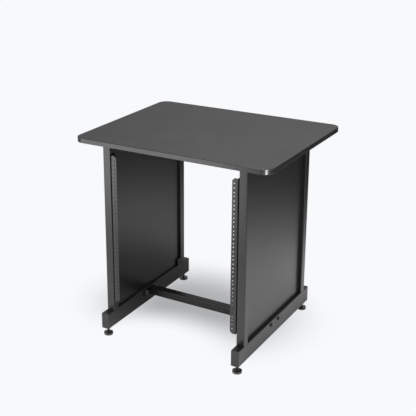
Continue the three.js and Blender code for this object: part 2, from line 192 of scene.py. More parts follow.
rays = tree.nodes.new("ShaderNodeLightPath")
seen = Shade(tree, rays.outputs["Is Camera Ray"])
mirrored = Shade(tree, rays.outputs["Is Glossy Ray"])
passed = Shade(tree, rays.outputs["Is Transmission Ray"])
paint = seen.make("ShaderNodeBsdfDiffuse", {"Color": FLOOR_PAINT})
paint_seen = seen.make("ShaderNodeBsdfDiffuse", {"Color": FLOOR_PAINT_SEEN})
lift = seen.make("ShaderNodeEmission", {"Color": WHITE, "Strength": FLOOR_LIFT})
near = seen.make("ShaderNodeAddShader", {0: paint_seen, 1: lift})
white = seen.make("ShaderNodeEmission", {"Color": WHITE})
# Painted shade and light: by place on the floor, the lamps' shadow shows only inside an oval, and a pool
# in front of the frames is painted white.
shadow = 1 - distance_from(SHADOW_MIDDLE, SHADOW_REACH).limited(*SHADOW_EDGE)
out_of_pool = distance_from(POOL_MIDDLE).limited(*POOL_EDGE)
shadow = shadow * out_of_pool
for_camera = seen.make("ShaderNodeMixShader", {0: shadow, 1: white, 2: near})
rightward = floor_place.make("ShaderNodeSeparateXYZ", {"Vector": floor_place}, output="X")
rearward = floor_place.make("ShaderNodeSeparateXYZ", {"Vector": floor_place}, output="Y")
# Painted light: a glow seen only in reflections, set by place on the floor, stronger to the right, beside
# the right frame, in front and in the pool.
beside = (1 - rightward.limited(*BESIDE_EDGE)) * BESIDE_SHINE
shine = LEVEL_SHINE + rightward.limited(*RIGHT_EDGE) * (RIGHT_SHINE + beside)
shine = shine + (0 - rearward).limited(*FRONT_EDGE) * FRONT_SHINE + (1 - out_of_pool) * POOL_SHINE
shine_colour = seen.make("ShaderNodeVectorMath", {0: WHITE[:3], "Scale": shine}, operation="SCALE")
glow = seen.make("ShaderNodeEmission", {"Color": shine_colour})
lit = seen.make("ShaderNodeAddShader", {0: paint, 1: glow})
room = seen.make("ShaderNodeEmission", {"Color": WHITE, "Strength": ROOM_FLOOR})
rear_fade = (rearward + rightward * REAR_SLANT).limited(*REAR_FADE)
for_mirror = seen.make("ShaderNodeMixShader", {0: rear_fade, 1: lit, 2: room})
for_others = seen.make("ShaderNodeMixShader", {0: mirrored, 1: paint, 2: for_mirror})
shown = seen.make("ShaderNodeMixShader", {0: seen + passed, 1: for_others, 2: for_camera})
tree.links.new(shown.socket, tree.nodes["Material Output"].inputs["Surface"])
floor.data.materials.append(floor_finish)

world = bpy.data.worlds.new("studio")
bpy.context.scene.world = world
world.use_nodes = True
tree = world.node_tree
rays = tree.nodes.new("ShaderNodeLightPath")
seen = Shade(tree, rays.outputs["Is Camera Ray"])
mirrored = Shade(tree, rays.outputs["Is Glossy Ray"])
passed = Shade(tree, rays.outputs["Is Transmission Ray"])
direction = Shade(tree, tree.nodes.new("ShaderNodeTexCoord").outputs["Generated"])
leftward = 0 - direction.make("ShaderNodeSeparateXYZ", {"Vector": direction})
ambient = seen.make("ShaderNodeBackground", {"Color": WHITE, "Strength": AMBIENT})
right_wall = seen.make("ShaderNodeBackground", {"Color": WHITE, "Strength": MIRRORED_WALL[0]})
left_wall = seen.make("ShaderNodeBackground", {"Color": WHITE, "Strength": MIRRORED_WALL[1]})
wall = seen.make("ShaderNodeMixShader", {0: leftward.limited(*WALL_TURN), 1: right_wall, 2: left_wall})
room = seen.make("ShaderNodeMixShader", {0: mirrored, 1: ambient, 2: wall})
backdrop = seen.make("ShaderNodeBackground", {"Color": WHITE})
shown = seen.make("ShaderNodeMixShader", {0: seen + passed, 1: room, 2: backdrop})
tree.links.new(shown.socket, tree.nodes["World Output"].inputs["Surface"])


# Desktop board: an 18 mm fibreboard with dark laminate on both faces.
# Its corners are cut round, and its edge lies behind a plastic band.
BAND_SHEET = 0.002
DESK_CORNER = 0.035
CORNER_STEPS = 18
LAMINATE_EDGE = 0.0003
LAMINATE_ROUGHNESS = 0.42
LAMINATE_DARK = (0.020, 0.0195, 0.019, 1)
LAMINATE_LIGHT = (0.027, 0.0265, 0.026, 1)
X_AXIS, Y_AXIS, Z_AXIS = range(3)
PARALLEL = 0.99
EASE_ANGLE = math.radians(40)
SMOOTH_ANGLE = math.radians(35)


def add_block(name, low, high):
    """A cube stretched between two corners, with its place in its mesh."""
    low = Vector(low)
    high = Vector(high)
    bpy.ops.object.select_all(action="DESELECT")
    bpy.ops.mesh.primitive_cube_add(size=1, location=(low + high) / 2)
    piece = bpy.context.object
    piece.name = name
    piece.scale = high - low
    bpy.ops.object.transform_apply(location=True, rotation=True, scale=True)
    return piece


def edit(piece):
    """Opens a piece in edit mode with nothing selected, and gives its edit mesh."""
    bpy.context.view_layer.objects.active = piece
    bpy.ops.object.mode_set(mode="EDIT")
    bpy.ops.mesh.select_all(action="DESELECT")
    return bmesh.from_edit_mesh(piece.data)


def select_edges(piece, wanted):
    """Selects the edges whose two ends satisfy wanted, and leaves the piece in edit mode."""
    mesh = edit(piece)
    bpy.ops.mesh.select_mode(type="EDGE")
    for edge in mesh.edges:
        edge.select_set(bool(wanted(edge.verts[0].co, edge.verts[1].co)))
    bmesh.update_edit_mesh(piece.data)


def select_faces(piece, wanted):
    """Selects the faces whose middle and normal satisfy wanted, and leaves the piece in edit mode."""
    mesh = edit(piece)
    bpy.ops.mesh.select_mode(type="FACE")
    for face in mesh.faces:
        face.select_set(bool(wanted(face.calc_center_median(), face.normal)))
    bmesh.update_edit_mesh(piece.data)


def apply_modifier(piece, kind, **settings):
    modifier = piece.modifiers.new(kind.lower(), kind)
    for name, value in settings.items():
        setattr(modifier, name, value)
    bpy.context.view_layer.objects.active = piece
    bpy.ops.object.modifier_apply(modifier=modifier.name)


def round_along(piece, axis, radius, steps):
    """Rounds the edges that run along one axis."""
    select_edges(piece, lambda first, second: abs((first - second).normalized()[axis]) > PARALLEL)
    bpy.ops.mesh.bevel(offset=radius, segments=steps, affect="EDGES")
    bpy.ops.object.mode_set(mode="OBJECT")


def ease(piece, radius, steps=2):
    """Rounds every edge that turns by more than the ease angle."""
    apply_modifier(piece, "BEVEL", width=radius, segments=steps,
                   limit_method="ANGLE", angle_limit=EASE_ANGLE)


def hand_over(piece, finish, slot, body, *replaced):
    """Shades a piece smoothly, gives it its finish and ties it to the CAD model."""
    bpy.ops.object.select_all(action="DESELECT")
    piece.select_set(True)
    bpy.context.view_layer.objects.active = piece
    bpy.ops.object.shade_smooth_by_angle(angle=SMOOTH_ANGLE)
    apply_modifier(piece, "WEIGHTED_NORMAL", keep_sharp=True)
    piece.data.materials.append(finish)
    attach(piece, body)
    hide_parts(*replaced)


def new_laminate():
    material, shader, place = new_finish("black laminate")
    cloud = place.make("ShaderNodeTexNoise", {"Vector": place, "Scale": 7.0, "Detail": 4.0})
    fleck = place.make("ShaderNodeTexNoise", {"Vector": place, "Scale": 1400.0, "Detail": 2.0})
    tone = (cloud * 0.5 + fleck * 0.5).limited(0.35, 0.65)
    tone.mixed(LAMINATE_DARK, LAMINATE_LIGHT).into(shader, "Base Color")
    roughness = LAMINATE_ROUGHNESS + (cloud - 0.5) * 0.10 + (fleck - 0.5) * 0.08
    roughness.into(shader, "Roughness")
    pore = place.make("ShaderNodeTexVoronoi", {"Vector": place, "Scale": 1100.0})
    raised = place.make("ShaderNodeBump", {"Height": pore, "Strength": 0.5, "Distance": 0.00006})
    raised.into(shader, "Normal")
    return material


board = add_block("laminate_board", *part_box("desktop_board"))
round_along(board, Z_AXIS, DESK_CORNER - BAND_SHEET, CORNER_STEPS)
ease(board, LAMINATE_EDGE)
hand_over(board, new_laminate(), "laminate", "frame", "desktop_board")


# Edge band: one strip of 2 mm plastic glued round the board, with its outer edges rounded off.
# It is smoother than the laminate, so it takes the bright line at the front corner.
BAND_ROUND = 0.0015
BAND_ROUND_STEPS = 5
BAND_ROUGHNESS = 0.27
BAND_DARK = (0.010, 0.010, 0.0105, 1)
BAND_LIGHT = (0.014, 0.014, 0.0145, 1)


def new_band_plastic():
    material, shader, place = new_finish("edge band plastic")
    cloud = place.make("ShaderNodeTexNoise", {"Vector": place, "Scale": 12.0, "Detail": 3.0})
    grain = place.make("ShaderNodeTexNoise", {"Vector": place, "Scale": 900.0, "Detail": 2.0})
    tone = cloud.limited(0.3, 0.7)
    tone.mixed(BAND_DARK, BAND_LIGHT).into(shader, "Base Color")
    (BAND_ROUGHNESS + (grain - 0.5) * 0.12).into(shader, "Roughness")
    raised = place.make("ShaderNodeBump", {"Height": grain, "Strength": 0.6, "Distance": 0.00002})
    raised.into(shader, "Normal")
    return material


band = add_block("edge_strip", *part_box("edge_band"))
round_along(band, Z_AXIS, DESK_CORNER, CORNER_STEPS)
ease(band, BAND_ROUND, BAND_ROUND_STEPS)
select_faces(band, lambda middle, normal: abs(normal.z) > PARALLEL)
bpy.ops.mesh.inset(thickness=BAND_SHEET - BAND_ROUND)
bpy.ops.mesh.delete(type="FACE")
bpy.ops.mesh.select_mode(type="EDGE")
bpy.ops.mesh.select_non_manifold()
bpy.ops.mesh.bridge_edge_loops()
bpy.ops.object.mode_set(mode="OBJECT")
hand_over(band, new_band_plastic(), "edging", "frame", "edge_band")


# Side frames: each has two uprights, a base tube and a top tube of welded steel, 1.5 mm thick.
# The uprights and the top tube are 30 mm square, and the base tube is 60 mm high.
# All are powder coated black.
TUBE_CORNER = 0.003
TUBE_CORNER_STEPS = 5
TUBE_WALL = 0.0015
TUBES = {"front_upright": Z_AXIS, "rear_upright": Z_AXIS, "base_tube": Y_AXIS, "top_tube": Y_AXIS}
COAT_ROUGHNESS = 0.30
COAT_PEEL = 0.00004
COAT_DARK = (0.017, 0.017, 0.0175, 1)
COAT_LIGHT = (0.022, 0.022, 0.0225, 1)


def add_tube(name, node, axis):
    """A square tube in a node's place, rounded along its length, open at its ends and hollow."""
    tube = add_block(name, *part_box(node))
    round_along(tube, axis, TUBE_CORNER, TUBE_CORNER_STEPS)
    select_faces(tube, lambda middle, normal: abs(normal[axis]) > PARALLEL)
    bpy.ops.mesh.delete(type="FACE")
    bpy.ops.object.mode_set(mode="OBJECT")
    apply_modifier(tube, "SOLIDIFY", thickness=TUBE_WALL, offset=-1, use_even_offset=True)
    return tube


def new_powder_coat():
    """Black powder coat: a fine orange peel with faint clouds of tone and gloss."""
    material, shader, place = new_finish("black powder coat")
    cloud = place.make("ShaderNodeTexNoise", {"Vector": place, "Scale": 14.0, "Detail": 4.0})
    peel = place.make("ShaderNodeTexNoise", {"Vector": place, "Scale": 520.0, "Detail": 2.0})
    speck = place.make("ShaderNodeTexNoise", {"Vector": place, "Scale": 2400.0, "Detail": 1.0})
    tone = cloud.limited(0.3, 0.7)
    tone.mixed(COAT_DARK, COAT_LIGHT).into(shader, "Base Color")
    gloss = COAT_ROUGHNESS + (cloud - 0.5) * 0.10 + (speck - 0.5) * 0.06
    gloss.into(shader, "Roughness")
    height = peel * 0.8 + speck * 0.2
    raised = place.make("ShaderNodeBump", {"Height": height, "Strength": 0.7, "Distance": COAT_PEEL})
    raised.into(shader, "Normal")
    return material


steel_coat = new_powder_coat()
for side in SIDES:
    for name, axis in TUBES.items():
        tube = add_tube(f"{side}_{name}", f"{name}_{side}", axis)
        hand_over(tube, steel_coat, "coated_steel", "frame", f"{name}_{side}")


# End plugs: moulded plastic flanges that close the base tubes' four ends.
# Each has a hollow plug behind it that grips the inside of the tube.
PLUG_FLANGE = 0.002
PLUG_ROUND = 0.0008
PLUG_ROUND_STEPS = 3
PLUG_FIT = 0.0018
PLASTIC_ROUGHNESS = 0.40
PLASTIC_DARK = (0.016, 0.016, 0.0165, 1)
PLASTIC_LIGHT = (0.022, 0.022, 0.0225, 1)


def new_moulded_plastic(name, dark, light, roughness):
    """Black plastic with the fine grain of an eroded mould."""
    material, shader, place = new_finish(name)
    cloud = place.make("ShaderNodeTexNoise", {"Vector": place, "Scale": 40.0, "Detail": 3.0})
    grain = place.make("ShaderNodeTexNoise", {"Vector": place, "Scale": 1800.0, "Detail": 2.0})
    tone = cloud.limited(0.3, 0.7)
    tone.mixed(dark, light).into(shader, "Base Color")
    gloss = roughness + (cloud - 0.5) * 0.1 + (grain - 0.5) * 0.1
    gloss.into(shader, "Roughness")
    raised = place.make("ShaderNodeBump", {"Height": grain, "Strength": 0.5, "Distance": 0.00004})
    raised.into(shader, "Normal")
    return material


plastic = new_moulded_plastic("moulded black plastic", PLASTIC_DARK, PLASTIC_LIGHT, PLASTIC_ROUGHNESS)
for side in SIDES:
    for end, outward in (("front", -1), ("rear", 1)):
        low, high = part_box(f"{end}_end_cap_{side}")
        outer = low[1] if outward < 0 else high[1]
        inner = outer - outward * PLUG_FLANGE
        reach = high[1] - low[1] - PLUG_FLANGE
        near, far = sorted((outer, inner))
        plug = add_block(f"{end}_plug_{side}", (low[0], near, low[2]), (high[0], far, high[2]))
        round_along(plug, Y_AXIS, TUBE_CORNER, TUBE_CORNER_STEPS)
        select_faces(plug, lambda middle, normal: normal.y * outward > PARALLEL)
        bpy.ops.mesh.bevel(offset=PLUG_ROUND, segments=PLUG_ROUND_STEPS, affect="EDGES")
        bpy.ops.object.mode_set(mode="OBJECT")
        select_faces(plug, lambda middle, normal: normal.y * outward < -PARALLEL)
        bpy.ops.mesh.inset(thickness=PLUG_FIT)
        bpy.ops.mesh.extrude_region_move(TRANSFORM_OT_translate={"value": (0, -outward * reach, 0)})
        bpy.ops.mesh.inset(thickness=PLUG_FLANGE)
        bpy.ops.mesh.extrude_region_move(TRANSFORM_OT_translate={"value": (0, outward * reach, 0)})
        bpy.ops.object.mode_set(mode="OBJECT")
        hand_over(plug, plastic, "black_plastic", "frame", f"{end}_end_cap_{side}")


# Side panels: 9 mm fibreboards with a smooth black lacquer, set into the frames.
# Their edges are eased, and they stand nearer the frames' inner faces than the outer ones.
PANEL_EDGE = 0.0005
LACQUER_ROUGHNESS = 0.32
LACQUER_DARK = (0.018, 0.018, 0.019, 1)
LACQUER_LIGHT = (0.023, 0.023, 0.0245, 1)


def new_lacquer():
    material, shader, place = new_finish("black lacquer")
    cloud = place.make("ShaderNodeTexNoise", {"Vector": place, "Scale": 4.0, "Detail": 3.0})
    peel = place.make("ShaderNodeTexNoise", {"Vector": place, "Scale": 260.0, "Detail": 2.0})
    tone = cloud.limited(0.3, 0.7)
    tone.mixed(LACQUER_DARK, LACQUER_LIGHT).into(shader, "Base Color")
    (LACQUER_ROUGHNESS + (cloud - 0.5) * 0.06).into(shader, "Roughness")
    raised = place.make("ShaderNodeBump", {"Height": peel, "Strength": 0.5, "Distance": 0.00003})
    raised.into(shader, "Normal")
    return material


lacquer = new_lacquer()
for side in SIDES:
    panel = add_block(f"{side}_panel", *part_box(f"side_panel_{side}"))
    ease(panel, PANEL_EDGE)
    hand_over(panel, lacquer, "panel_board", "frame", f"side_panel_{side}")


# Corner blocks: moulded blocks in the lower rear corners, inside the frames.
# Each fills the step between the panel and the tubes, and its top slants down towards the front.
BLOCK_OUTER_HEIGHT = 0.022
BLOCK_ROUND = 0.0008
BLOCK_ROUND_STEPS = 3
NEAR = 0.0001

for side in SIDES:
    low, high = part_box(f"corner_block_{side}")
    block = add_block(f"{side}_corner_block", low, high)
    select_edges(block, lambda first, second: (
        min(first.z, second.z) > high[2] - NEAR and max(first.y, second.y) < low[1] + NEAR))
    bpy.ops.transform.translate(value=(0, 0, low[2] + BLOCK_OUTER_HEIGHT - high[2]))
    bpy.ops.object.mode_set(mode="OBJECT")
    ease(block, BLOCK_ROUND, BLOCK_ROUND_STEPS)
    hand_over(block, plastic, "black_plastic", "frame", f"corner_block_{side}")


# Rack rails: 2 mm steel angles with the rack holes in the front flange and small holes in the web.
# The flange's free corners are clipped, and the rails have the frames' powder coat.
RAIL_SHEET = 0.002
RAIL_BEND = 0.003
RAIL_BEND_STEPS = 6
RAIL_CLIP = 0.008
RAIL_EDGE = 0.00025
HOLES_PER_UNIT = 3
HOLE_PITCH = 0.015875
UNIT_HEIGHT = 0.04445
RACK_UNITS = 12
RACK_HOLE = 0.0045
RACK_HOLE_FACETS = 16
RACK_HOLE_INSET = 0.00755
THREAD_RIB = 0.00035
THREAD_PITCH = 0.0008
THREAD_RINGS = range(-6, 16)
THREAD_SHIFT = 0.25
WEB_HOLE = 0.0045
WEB_HOLE_FACETS = 18
WEB_HOLE_SETBACK = 0.011
RAIL_END_MARGIN = 0.018
RAIL_BOLT_HOLE = 0.0066
RAIL_CUTTER = 4 * RAIL_SHEET
SLIVER = 0.000002


def draw_line(name, points):
    """A chain of edges through points, drawn by extruding one vertex, and left in edit mode."""
    bpy.ops.object.select_all(action="DESELECT")
    bpy.ops.mesh.primitive_plane_add(size=1)
    line = bpy.context.object
    line.name = name
    bpy.ops.object.mode_set(mode="EDIT")
    bpy.ops.mesh.select_mode(type="VERT")
    bpy.ops.mesh.select_all(action="SELECT")
    bpy.ops.mesh.merge(type="CENTER")
    bpy.ops.transform.translate(value=points[0])
    for before, after in zip(points, points[1:]):
        step = Vector(after) - Vector(before)
        bpy.ops.mesh.extrude_region_move(TRANSFORM_OT_translate={"value": step})
    return line


def add_rod(name, radius, length, middle, axis, facets=24):
    """A cylinder along X, Y or Z."""
    turns = ((0, math.pi / 2, 0), (math.pi / 2, 0, 0), (0, 0, 0))
    bpy.ops.object.select_all(action="DESELECT")
    bpy.ops.mesh.primitive_cylinder_add(vertices=facets, radius=radius, depth=length,
                                        location=middle, rotation=turns[axis])
    rod = bpy.context.object
    rod.name = name
    bpy.ops.object.transform_apply(location=True, rotation=True, scale=True)
    return rod


def repeat_up(piece, count, step):
    apply_modifier(piece, "ARRAY", count=count, use_relative_offset=False, use_constant_offset=True,
                   constant_offset_displace=(0, 0, step))


def cut(piece, cutter, operation="DIFFERENCE"):
    """Cuts a piece with another, which is used up, and clears the slivers that this leaves."""
    apply_modifier(piece, "BOOLEAN", object=cutter, operation=operation, solver="EXACT")
    bpy.data.objects.remove(cutter)
    bpy.context.view_layer.objects.active = piece
    bpy.ops.object.mode_set(mode="EDIT")
    bpy.ops.mesh.select_all(action="SELECT")
    bpy.ops.mesh.dissolve_degenerate(threshold=SLIVER)
    bpy.ops.object.mode_set(mode="OBJECT")


def add_thread_cutter(x, front, z):
    """A ribbed rod along Y that cuts a rack hole with its thread, its rings clear of the sheet's faces."""
    radii = [RACK_HOLE / 2 + THREAD_RIB * (step % 2) for step in THREAD_RINGS]
    start = front + (THREAD_RINGS[0] / 2 - THREAD_SHIFT) * THREAD_PITCH
    bpy.ops.object.select_all(action="DESELECT")
    bpy.ops.mesh.primitive_circle_add(vertices=RACK_HOLE_FACETS, radius=radii[0], fill_type="NGON",
                                      rotation=(math.pi / 2, 0, 0), location=(x, start, z))
    rod = bpy.context.object
    rod.name = "rack holes"
    bpy.ops.object.transform_apply(location=True, rotation=True, scale=True)
    bpy.ops.object.mode_set(mode="EDIT")
    bpy.ops.mesh.select_all(action="SELECT")
    for before, after in zip(radii, radii[1:]):
        bpy.ops.mesh.extrude_region_move(TRANSFORM_OT_translate={"value": (0, THREAD_PITCH / 2, 0)})
        bpy.ops.transform.resize(value=(after / before, 1, after / before))
    bpy.ops.mesh.select_all(action="SELECT")
    bpy.ops.mesh.normals_make_consistent(inside=False)
    bpy.ops.object.mode_set(mode="OBJECT")
    return rod


def add_rail(side, sign):
    """A rail: its section drawn, pulled up, clipped, bent, thickened and drilled."""
    low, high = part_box(f"rack_rail_{side}")
    opening, web = (low[0], high[0]) if sign > 0 else (high[0], low[0])
    front, back, bottom, top = low[1], high[1], low[2], high[2]
    section = [(opening, front, bottom), (web, front, bottom), (web, back, bottom)]
    rail = draw_line(f"{side}_rail", section)
    bpy.ops.mesh.select_all(action="SELECT")
    bpy.ops.mesh.extrude_region_move(TRANSFORM_OT_translate={"value": (0, 0, top - bottom)})
    for height, up in ((bottom, -1), (top, 1)):
        bpy.ops.mesh.select_all(action="SELECT")
        corner = (opening + sign * RAIL_CLIP, front, height)
        bpy.ops.mesh.bisect(plane_co=corner, plane_no=(-sign, 0, up), clear_outer=True)
    bpy.ops.mesh.select_all(action="SELECT")
    bpy.ops.mesh.normals_make_consistent(inside=False)
    bpy.ops.object.mode_set(mode="OBJECT")
    select_edges(rail, lambda first, second: all(
        max(abs(end.x - web), abs(end.y - front)) < NEAR for end in (first, second)))
    bpy.ops.mesh.bevel(offset=RAIL_BEND, segments=RAIL_BEND_STEPS, affect="EDGES")
    bpy.ops.object.mode_set(mode="OBJECT")
    faces_front = any(polygon.normal.y < -PARALLEL for polygon in rail.data.polygons)
    inward = -1 if faces_front else 1
    apply_modifier(rail, "SOLIDIFY", thickness=RAIL_SHEET, offset=inward, use_even_offset=True)
    ease(rail, RAIL_EDGE)
    first_hole = bottom + RAIL_END_MARGIN
    rack_hole = add_thread_cutter(opening + sign * RACK_HOLE_INSET, front, first_hole)
    web_place = (web, front + WEB_HOLE_SETBACK, first_hole)
    web_hole = add_rod("web holes", WEB_HOLE / 2, RAIL_CUTTER, web_place, X_AXIS, WEB_HOLE_FACETS)
    for holes in (rack_hole, web_hole):
        repeat_up(holes, HOLES_PER_UNIT, HOLE_PITCH)
        repeat_up(holes, RACK_UNITS, UNIT_HEIGHT)
        cut(rail, holes)
    for level in ("lower", "upper"):
        bolt_low, bolt_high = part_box(f"{level}_rail_bolt_{side}")
        middle = (Vector(bolt_low) + Vector(bolt_high)) / 2
        hole_place = (web, middle.y, middle.z)
        cut(rail, add_rod("bolt hole", RAIL_BOLT_HOLE / 2, RAIL_CUTTER, hole_place, X_AXIS))
    return rail


for side, sign in SIDES.items():
    hand_over(add_rail(side, sign), steel_coat, "coated_steel", "frame", f"rack_rail_{side}")


# Spacers and bolts: each rail stands off its upright on two spacers.
# A bolt with a socket head goes through each, and the spacers keep their CAD shape under the powder coat.
RAIL_BOLT = {"diameter": 0.006, "head": 0.0115, "head_height": 0.0036, "key": 0.004, "key_depth": 0.002}
RAIL_BOLT_PITCH = 0.001
DOME_STEPS = 6
DOME_ANGLE = math.radians(72)
DOME_FLAT = 0.75
DOME_RIM = 0.18
DOME_RISE = 0.82
THREAD_DEPTH = 0.54
LATHE_STEPS = 40
WELD = 0.00001
BLACK_METALLIC = 0.3
BLACK_ROUGHNESS = 0.30
BLACK_DARK = (0.010, 0.010, 0.0105, 1)
BLACK_LIGHT = (0.018, 0.018, 0.019, 1)


def turn_on_lathe(name, profile, steps=LATHE_STEPS):
    """A piece turned round the Z axis from (radius, height) pairs."""
    piece = draw_line(name, [(radius, 0, height) for radius, height in profile])
    bpy.ops.mesh.select_all(action="SELECT")
    bpy.ops.mesh.spin(steps=steps, angle=2 * math.pi, center=(0, 0, 0), axis=(0, 0, 1))
    bpy.ops.mesh.select_all(action="SELECT")
    bpy.ops.mesh.remove_doubles(threshold=WELD)
    bpy.ops.mesh.normals_make_consistent(inside=False)
    bpy.ops.object.mode_set(mode="OBJECT")
    return piece


def thread(diameter, start, end, pitch):
    """The zigzag of a thread as (radius, height) pairs."""
    crest = diameter / 2
    root = crest - THREAD_DEPTH * pitch
    pairs = []
    height = start
    while height + pitch < end:
        pairs += [(crest, height), (root, height + pitch / 2)]
        height += pitch
    return pairs + [(crest, height), (crest, end - pitch / 2), (root, end)]


def add_socket_bolt(name, diameter, head, head_height, key, key_depth, length, pitch):
    """A bolt along +Z whose domed head hangs below zero, with a hexagon socket in it."""
    flat = key * DOME_FLAT
    lowest = math.cos(DOME_ANGLE)
    dome = []
    for step in range(DOME_STEPS + 1):
        angle = step / DOME_STEPS * DOME_ANGLE
        radius = flat + (head / 2 - flat) * math.sin(angle) / math.sin(DOME_ANGLE)
        share = DOME_RIM + DOME_RISE * (math.cos(angle) - lowest) / (1 - lowest)
        dome.append((radius, -head_height * share))
    profile = [(0, -head_height), *dome, (head / 2, 0), (diameter / 2, 0)]
    profile += [*thread(diameter, length / 2, length, pitch), (0, length)]
    bolt = turn_on_lathe(name, profile)
    corner = key / 2 / math.cos(math.pi / 6)
    cut(bolt, add_rod("socket", corner, 2 * key_depth, (0, 0, -head_height), Z_AXIS, 6))
    return bolt


def copy_of(piece, name, move):
    """A copy with a mesh of its own, moved in that mesh."""
    copy = piece.copy()
    copy.data = piece.data.copy()
    copy.name = name
    bpy.context.collection.objects.link(copy)
    copy.data.transform(move)
    return copy


def new_black_steel(name, dark, light, metallic):
    """Blackened steel, with faint clouds of tone and a soft shine."""
    material, shader, place = new_finish(name)
    cloud = place.make("ShaderNodeTexNoise", {"Vector": place, "Scale": 120.0, "Detail": 4.0})
    fine = place.make("ShaderNodeTexNoise", {"Vector": place, "Scale": 2200.0, "Detail": 2.0})
    tone = cloud.limited(0.3, 0.7)
    tone.mixed(dark, light).into(shader, "Base Color")
    (BLACK_ROUGHNESS + (cloud - 0.5) * 0.16).into(shader, "Roughness")
    raised = place.make("ShaderNodeBump", {"Height": fine, "Strength": 0.4, "Distance": 0.00002})
    raised.into(shader, "Normal")
    shader.inputs["Metallic"].default_value = metallic
    return material


black_oxide = new_black_steel("black oxide steel", BLACK_DARK, BLACK_LIGHT, BLACK_METALLIC)
pattern_bolt = None
for side, sign in SIDES.items():
    for level in ("lower", "upper"):
        spacer = nodes[f"{level}_rail_spacer_{side}"]
        spacer.data.materials.clear()
        spacer.data.materials.append(steel_coat)
        node = f"{level}_rail_bolt_{side}"
        low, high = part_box(node)
        head_height = RAIL_BOLT["head_height"]
        length = high[0] - low[0] - head_height
        if pattern_bolt is None:
            pattern_bolt = add_socket_bolt("rail bolt pattern", length=length, pitch=RAIL_BOLT_PITCH,
                                           **RAIL_BOLT)
        head_face = low[0] + head_height if sign > 0 else high[0] - head_height
        place = Matrix.Translation((head_face, (low[1] + high[1]) / 2, (low[2] + high[2]) / 2))
        turned = place @ Matrix.Rotation(sign * math.pi / 2, 4, "Y")
        bolt = copy_of(pattern_bolt, f"{side}_{level}_rail_bolt", turned)
        hand_over(bolt, black_oxide, "black_fastener", "frame", node)
bpy.data.objects.remove(pattern_bolt)


# Crossbar: a 30 mm square tube between the base tubes, welded to a plate at each end.
# Two bolts with socket heads hold each plate through the base tube, with zinc plated nuts inside.
PLATE_EDGE = 0.0006
PLATE_CORNER = 0.003
PLATE_CORNER_STEPS = 4
PLATE_CUTTER = 0.02
CROSS_BOLT = {"diameter": 0.008, "head": 0.0145, "head_height": 0.0044, "key": 0.005, "key_depth": 0.0025}
CROSS_BOLT_HOLE = 0.0086
CROSS_BOLT_PITCH = 0.00125
CROSS_NUT = {"across": 0.013, "height": 0.0065, "thread_size": 0.008}
NUT_FACE = 0.95
NUT_SPARE = 1.01
NUT_HOLE_SLOPE = 0.12
NUT_STEPS = 48
ZINC_ROUGHNESS = 0.34
ZINC_DARK = (0.52, 0.53, 0.55, 1)
ZINC_LIGHT = (0.66, 0.67, 0.69, 1)


def add_hex_nut(name, across, height, thread_size):
    """A hexagon nut on the XY plane, its corners rounded off at both ends and its hole chamfered."""
    corner = across / 2 / math.cos(math.pi / 6)
    face = across / 2 * NUT_FACE
    outer = corner * NUT_SPARE
    chamfer = (corner - face) * math.tan(math.radians(30))
    hole = thread_size / 2
    slope = hole * NUT_HOLE_SLOPE
    profile = [
        (hole + slope, 0), (face, 0), (outer, chamfer), (outer, height - chamfer), (face, height),
        (hole + slope, height), (hole, height - slope), (hole, slope), (hole + slope, 0),
    ]
    nut = turn_on_lathe(name, profile, NUT_STEPS)
    cut(nut, add_rod("six sides", corner, 4 * height, (0, 0, height / 2), Z_AXIS, 6), "INTERSECT")
    return nut


def new_zinc():
    """Zinc plating: bright metal with faint blotches."""
    material, shader, place = new_finish("zinc plating")
    cloud = place.make("ShaderNodeTexNoise", {"Vector": place, "Scale": 160.0, "Detail": 4.0})
    fine = place.make("ShaderNodeTexNoise", {"Vector": place, "Scale": 2600.0, "Detail": 2.0})
    tone = cloud.limited(0.3, 0.7)
    tone.mixed(ZINC_DARK, ZINC_LIGHT).into(shader, "Base Color")
    (ZINC_ROUGHNESS + (cloud - 0.5) * 0.2).into(shader, "Roughness")
    raised = place.make("ShaderNodeBump", {"Height": fine, "Strength": 0.4, "Distance": 0.00002})
    raised.into(shader, "Normal")
    shader.inputs["Metallic"].default_value = 1.0
    return material


hand_over(add_tube("crossbar_tube", "crossbar", X_AXIS), steel_coat, "coated_steel", "frame", "crossbar")
zinc = new_zinc()
pattern_bolt = None
pattern_nut = add_hex_nut("crossbar nut pattern", **CROSS_NUT)
head_height = CROSS_BOLT["head_height"]
for side, sign in SIDES.items():
    low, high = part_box(f"crossbar_plate_{side}")
    plate = add_block(f"{side}_crossbar_plate", low, high)
    round_along(plate, X_AXIS, PLATE_CORNER, PLATE_CORNER_STEPS)
    ease(plate, PLATE_EDGE)
    for end in ("front", "rear"):
        bolt_low, bolt_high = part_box(f"{end}_crossbar_bolt_{side}")
        middle = (Vector(bolt_low) + Vector(bolt_high)) / 2
        length = bolt_high[0] - bolt_low[0] - head_height
        if pattern_bolt is None:
            pattern_bolt = add_socket_bolt("crossbar bolt pattern", length=length, pitch=CROSS_BOLT_PITCH,
                                           **CROSS_BOLT)
        hole_place = (low[0], middle.y, middle.z)
        cut(plate, add_rod("bolt hole", CROSS_BOLT_HOLE / 2, PLATE_CUTTER, hole_place, X_AXIS))
        head_face = bolt_high[0] - head_height if sign > 0 else bolt_low[0] + head_height
        place = Matrix.Translation((head_face, middle.y, middle.z))
        turned = place @ Matrix.Rotation(-sign * math.pi / 2, 4, "Y")
        bolt = copy_of(pattern_bolt, f"{side}_{end}_crossbar_bolt", turned)
        hand_over(bolt, black_oxide, "black_fastener", "frame", f"{end}_crossbar_bolt_{side}")
        nut_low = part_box(f"{end}_crossbar_nut_{side}")[0]
        place = Matrix.Translation((nut_low[0], middle.y, middle.z))
        turned = place @ Matrix.Rotation(math.pi / 2, 4, "Y")
        nut = copy_of(pattern_nut, f"{side}_{end}_crossbar_nut", turned)
        hand_over(nut, zinc, "zinc_fastener", "frame", f"{end}_crossbar_nut_{side}")
    hand_over(plate, steel_coat, "coated_steel", "frame", f"crossbar_plate_{side}")
bpy.data.objects.remove(pattern_bolt)
